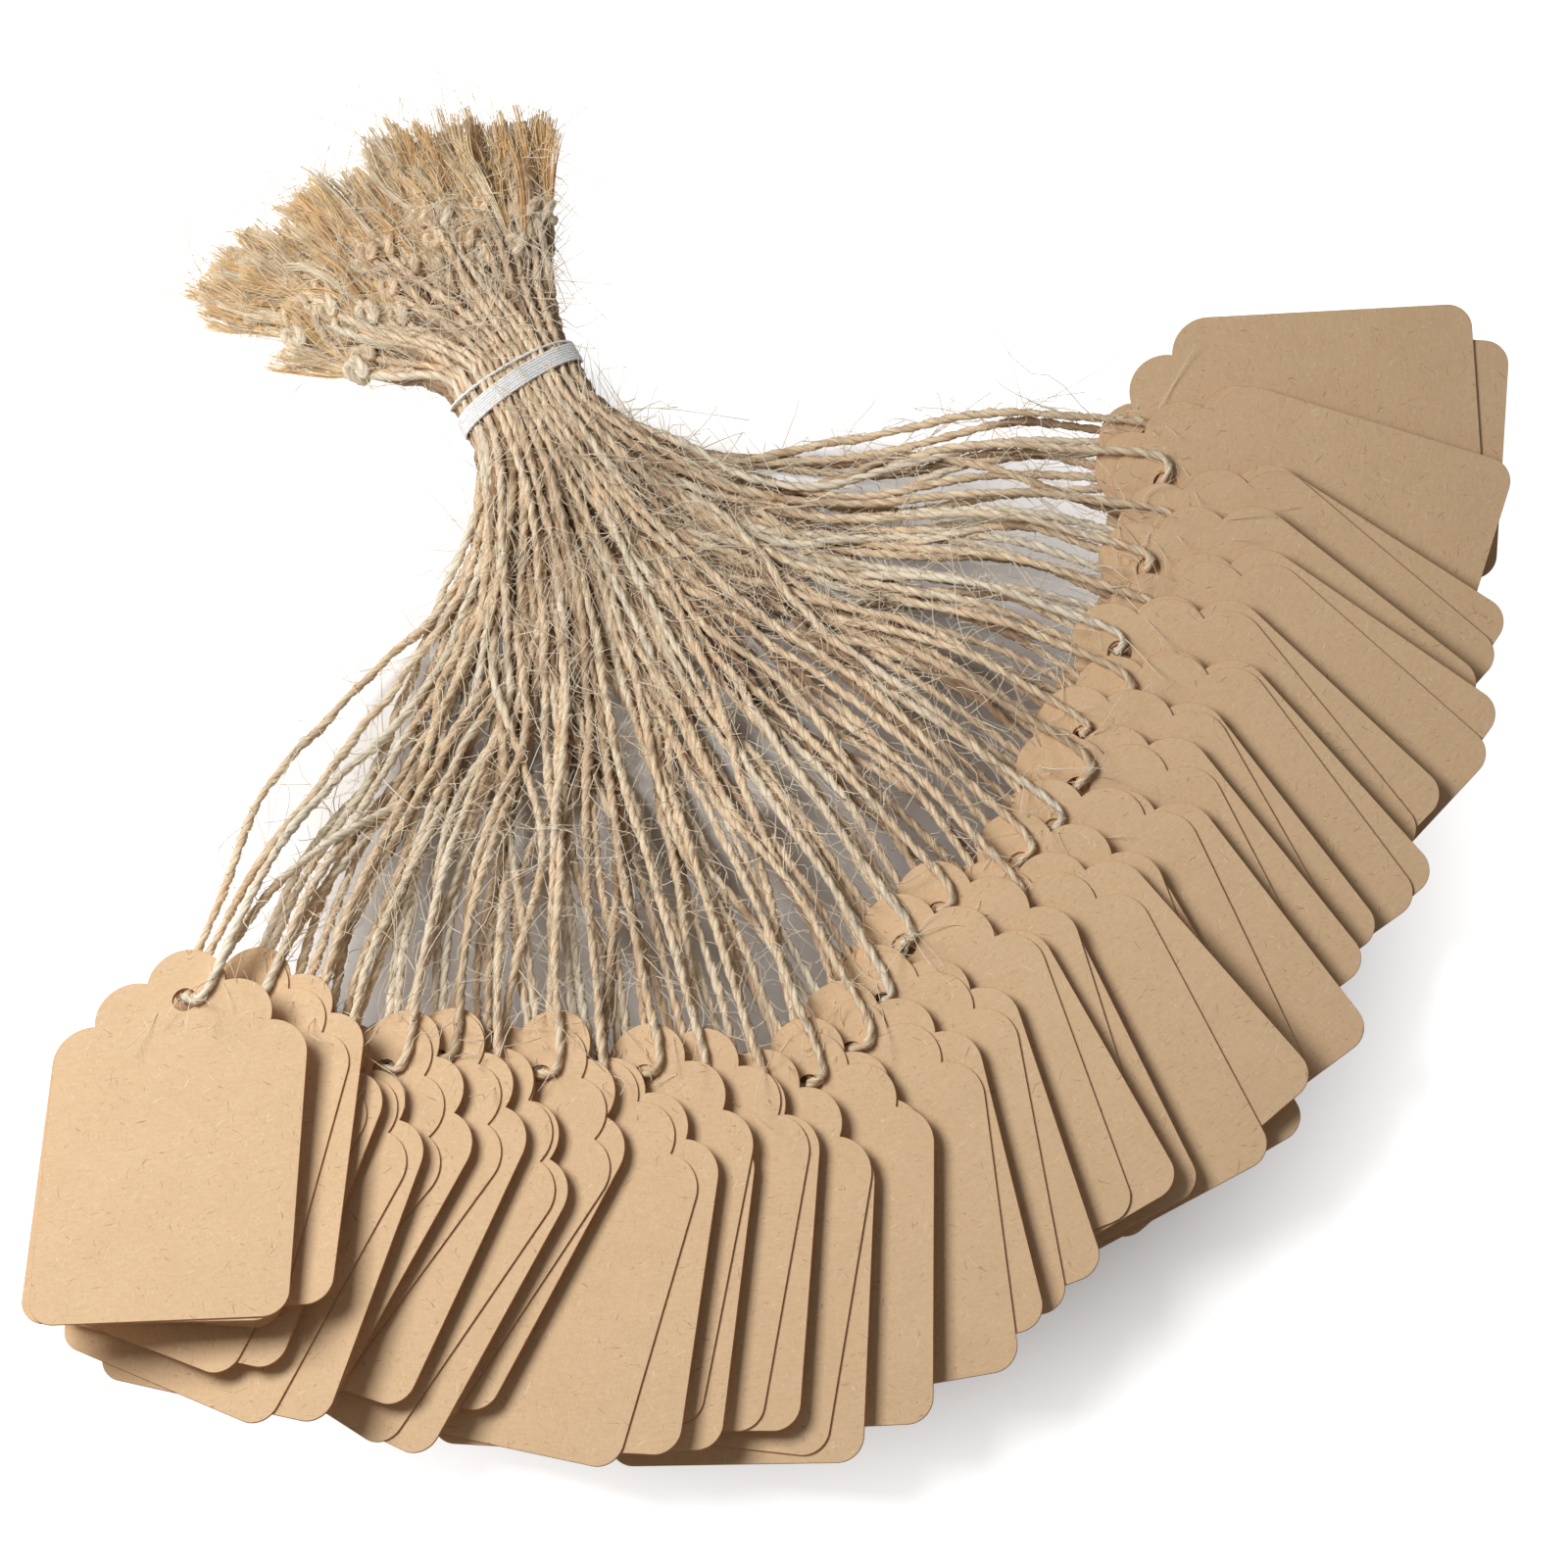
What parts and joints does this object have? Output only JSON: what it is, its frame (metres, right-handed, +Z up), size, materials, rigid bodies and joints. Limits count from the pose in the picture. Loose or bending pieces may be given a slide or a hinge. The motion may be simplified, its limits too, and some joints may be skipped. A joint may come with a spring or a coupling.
{
  "type": "bundle of kraft price tags",
  "caption": "Fanned bundle of scalloped kraft hang tags, each on its own knotted jute loop, the loops gathered and tied by a white cotton thread.",
  "frame": {"origin": "on the table, under the middle of the cards' and the tie's box", "axes": "+Z up from the table, +X to the right of the fan as pictured, +Y from the cards towards the knots"},
  "size_m": [0.2631, 0.2885, 0.029],
  "materials": {
    "kraft_card": "uncoated flecked kraft board, matte",
    "jute_twine": "two-ply hairy jute, matte",
    "cotton_thread": "white cotton thread, soft sheen"
  },
  "bodies": {
    "bundle": {"tie_thread": "cotton_thread", "twine_01": "jute_twine", "twine_02": "jute_twine", "twine_03": "jute_twine", "twine_04": "jute_twine", "twine_05": "jute_twine", "twine_06": "jute_twine", "twine_07": "jute_twine", "twine_08": "jute_twine", "twine_09": "jute_twine", "twine_10": "jute_twine", "twine_11": "jute_twine", "twine_12": "jute_twine", "twine_13": "jute_twine", "twine_14": "jute_twine", "twine_15": "jute_twine", "twine_16": "jute_twine", "twine_17": "jute_twine", "twine_18": "jute_twine", "twine_19": "jute_twine", "twine_20": "jute_twine", "twine_21": "jute_twine", "twine_22": "jute_twine", "twine_23": "jute_twine", "twine_24": "jute_twine", "twine_25": "jute_twine", "twine_26": "jute_twine", "twine_27": "jute_twine", "twine_28": "jute_twine", "twine_29": "jute_twine"},
    "tag_card_01": {"tag_card_01": "kraft_card"},
    "tag_card_02": {"tag_card_02": "kraft_card"},
    "tag_card_03": {"tag_card_03": "kraft_card"},
    "tag_card_04": {"tag_card_04": "kraft_card"},
    "tag_card_05": {"tag_card_05": "kraft_card"},
    "tag_card_06": {"tag_card_06": "kraft_card"},
    "tag_card_07": {"tag_card_07": "kraft_card"},
    "tag_card_08": {"tag_card_08": "kraft_card"},
    "tag_card_09": {"tag_card_09": "kraft_card"},
    "tag_card_10": {"tag_card_10": "kraft_card"},
    "tag_card_11": {"tag_card_11": "kraft_card"},
    "tag_card_12": {"tag_card_12": "kraft_card"},
    "tag_card_13": {"tag_card_13": "kraft_card"},
    "tag_card_14": {"tag_card_14": "kraft_card"},
    "tag_card_15": {"tag_card_15": "kraft_card"},
    "tag_card_16": {"tag_card_16": "kraft_card"},
    "tag_card_17": {"tag_card_17": "kraft_card"},
    "tag_card_18": {"tag_card_18": "kraft_card"},
    "tag_card_19": {"tag_card_19": "kraft_card"},
    "tag_card_20": {"tag_card_20": "kraft_card"},
    "tag_card_21": {"tag_card_21": "kraft_card"},
    "tag_card_22": {"tag_card_22": "kraft_card"},
    "tag_card_23": {"tag_card_23": "kraft_card"},
    "tag_card_24": {"tag_card_24": "kraft_card"},
    "tag_card_25": {"tag_card_25": "kraft_card"},
    "tag_card_26": {"tag_card_26": "kraft_card"},
    "tag_card_27": {"tag_card_27": "kraft_card"},
    "tag_card_28": {"tag_card_28": "kraft_card"},
    "tag_card_29": {"tag_card_29": "kraft_card"}
  },
  "joints": [
    {"name": "card_swing_01", "type": "hinge", "parent": "bundle", "child": "tag_card_01", "pos_m": [-0.1052, -0.02941, 0.0225], "axis": [-0.1445, 0.0599, 0.9877], "range_deg": [-3, 20]},
    {"name": "card_swing_02", "type": "hinge", "parent": "bundle", "child": "tag_card_02", "pos_m": [-0.09506, -0.02763, 0.0165], "axis": [-0.2814, 0.0961, 0.9548], "range_deg": [-3, 20]},
    {"name": "card_swing_03", "type": "hinge", "parent": "bundle", "child": "tag_card_03", "pos_m": [-0.08775, -0.03382, 0.0165], "axis": [-0.287, 0.078, 0.9548], "range_deg": [-3, 20]},
    {"name": "card_swing_04", "type": "hinge", "parent": "bundle", "child": "tag_card_04", "pos_m": [-0.08039, -0.04223, 0.0165], "axis": [-0.2913, 0.0597, 0.9548], "range_deg": [-3, 20]},
    {"name": "card_swing_05", "type": "hinge", "parent": "bundle", "child": "tag_card_05", "pos_m": [-0.07072, -0.04023, 0.0165], "axis": [-0.2945, 0.0411, 0.9548], "range_deg": [-3, 20]},
    {"name": "card_swing_06", "type": "hinge", "parent": "bundle", "child": "tag_card_06", "pos_m": [-0.06151, -0.03848, 0.0165], "axis": [-0.2965, 0.0224, 0.9548], "range_deg": [-3, 20]},
    {"name": "card_swing_07", "type": "hinge", "parent": "bundle", "child": "tag_card_07", "pos_m": [-0.05273, -0.04547, 0.0165], "axis": [-0.2974, 0.0037, 0.9548], "range_deg": [-3, 20]},
    {"name": "card_swing_08", "type": "hinge", "parent": "bundle", "child": "tag_card_08", "pos_m": [-0.04365, -0.04137, 0.0165], "axis": [-0.297, -0.015, 0.9548], "range_deg": [-3, 20]},
    {"name": "card_swing_09", "type": "hinge", "parent": "bundle", "child": "tag_card_09", "pos_m": [-0.03386, -0.04821, 0.0165], "axis": [-0.2955, -0.0336, 0.9548], "range_deg": [-3, 20]},
    {"name": "card_swing_10", "type": "hinge", "parent": "bundle", "child": "tag_card_10", "pos_m": [-0.02561, -0.04131, 0.0165], "axis": [-0.2928, -0.0518, 0.9548], "range_deg": [-3, 20]},
    {"name": "card_swing_11", "type": "hinge", "parent": "bundle", "child": "tag_card_11", "pos_m": [-0.01626, -0.04233, 0.0165], "axis": [-0.2891, -0.0696, 0.9548], "range_deg": [-3, 20]},
    {"name": "card_swing_12", "type": "hinge", "parent": "bundle", "child": "tag_card_12", "pos_m": [-0.00571, -0.04631, 0.0165], "axis": [-0.2844, -0.0869, 0.9548], "range_deg": [-3, 20]},
    {"name": "card_swing_13", "type": "hinge", "parent": "bundle", "child": "tag_card_13", "pos_m": [0.00302, -0.04319, 0.0165], "axis": [-0.2787, -0.1037, 0.9548], "range_deg": [-3, 20]},
    {"name": "card_swing_14", "type": "hinge", "parent": "bundle", "child": "tag_card_14", "pos_m": [0.01044, -0.03698, 0.0165], "axis": [-0.2719, -0.1203, 0.9548], "range_deg": [-3, 20]},
    {"name": "card_swing_15", "type": "hinge", "parent": "bundle", "child": "tag_card_15", "pos_m": [0.01603, -0.02769, 0.0165], "axis": [-0.2641, -0.1367, 0.9548], "range_deg": [-3, 20]},
    {"name": "card_swing_16", "type": "hinge", "parent": "bundle", "child": "tag_card_16", "pos_m": [0.01986, -0.01653, 0.0165], "axis": [-0.2552, -0.1527, 0.9548], "range_deg": [-3, 20]},
    {"name": "card_swing_17", "type": "hinge", "parent": "bundle", "child": "tag_card_17", "pos_m": [0.02606, -0.01024, 0.0165], "axis": [-0.245, -0.1685, 0.9548], "range_deg": [-3, 20]},
    {"name": "card_swing_18", "type": "hinge", "parent": "bundle", "child": "tag_card_18", "pos_m": [0.03783, -0.01119, 0.0165], "axis": [-0.2338, -0.1838, 0.9548], "range_deg": [-3, 20]},
    {"name": "card_swing_19", "type": "hinge", "parent": "bundle", "child": "tag_card_19", "pos_m": [0.04069, -0.0006, 0.0165], "axis": [-0.2215, -0.1984, 0.9548], "range_deg": [-3, 20]},
    {"name": "card_swing_20", "type": "hinge", "parent": "bundle", "child": "tag_card_20", "pos_m": [0.04675, 0.00593, 0.0165], "axis": [-0.2082, -0.2123, 0.9548], "range_deg": [-3, 20]},
    {"name": "card_swing_21", "type": "hinge", "parent": "bundle", "child": "tag_card_21", "pos_m": [0.05108, 0.01419, 0.0165], "axis": [-0.1936, -0.2257, 0.9548], "range_deg": [-3, 20]},
    {"name": "card_swing_22", "type": "hinge", "parent": "bundle", "child": "tag_card_22", "pos_m": [0.05254, 0.02457, 0.0165], "axis": [-0.1777, -0.2384, 0.9548], "range_deg": [-3, 20]},
    {"name": "card_swing_23", "type": "hinge", "parent": "bundle", "child": "tag_card_23", "pos_m": [0.05951, 0.03088, 0.0165], "axis": [-0.1605, -0.2503, 0.9548], "range_deg": [-3, 20]},
    {"name": "card_swing_24", "type": "hinge", "parent": "bundle", "child": "tag_card_24", "pos_m": [0.05938, 0.04163, 0.0165], "axis": [-0.1422, -0.2612, 0.9548], "range_deg": [-3, 20]},
    {"name": "card_swing_25", "type": "hinge", "parent": "bundle", "child": "tag_card_25", "pos_m": [0.06757, 0.04782, 0.0165], "axis": [-0.1231, -0.2707, 0.9548], "range_deg": [-3, 20]},
    {"name": "card_swing_26", "type": "hinge", "parent": "bundle", "child": "tag_card_26", "pos_m": [0.06519, 0.05874, 0.0165], "axis": [-0.1031, -0.2789, 0.9548], "range_deg": [-3, 20]},
    {"name": "card_swing_27", "type": "hinge", "parent": "bundle", "child": "tag_card_27", "pos_m": [0.06978, 0.06687, 0.0165], "axis": [-0.0824, -0.2857, 0.9548], "range_deg": [-3, 20]},
    {"name": "card_swing_28", "type": "hinge", "parent": "bundle", "child": "tag_card_28", "pos_m": [0.06883, 0.07661, 0.0165], "axis": [-0.0609, -0.2911, 0.9548], "range_deg": [-3, 20]},
    {"name": "card_swing_29", "type": "hinge", "parent": "bundle", "child": "tag_card_29", "pos_m": [0.0667, 0.08617, 0.0165], "axis": [-0.0389, -0.2948, 0.9548], "range_deg": [-3, 20]}
  ]
}
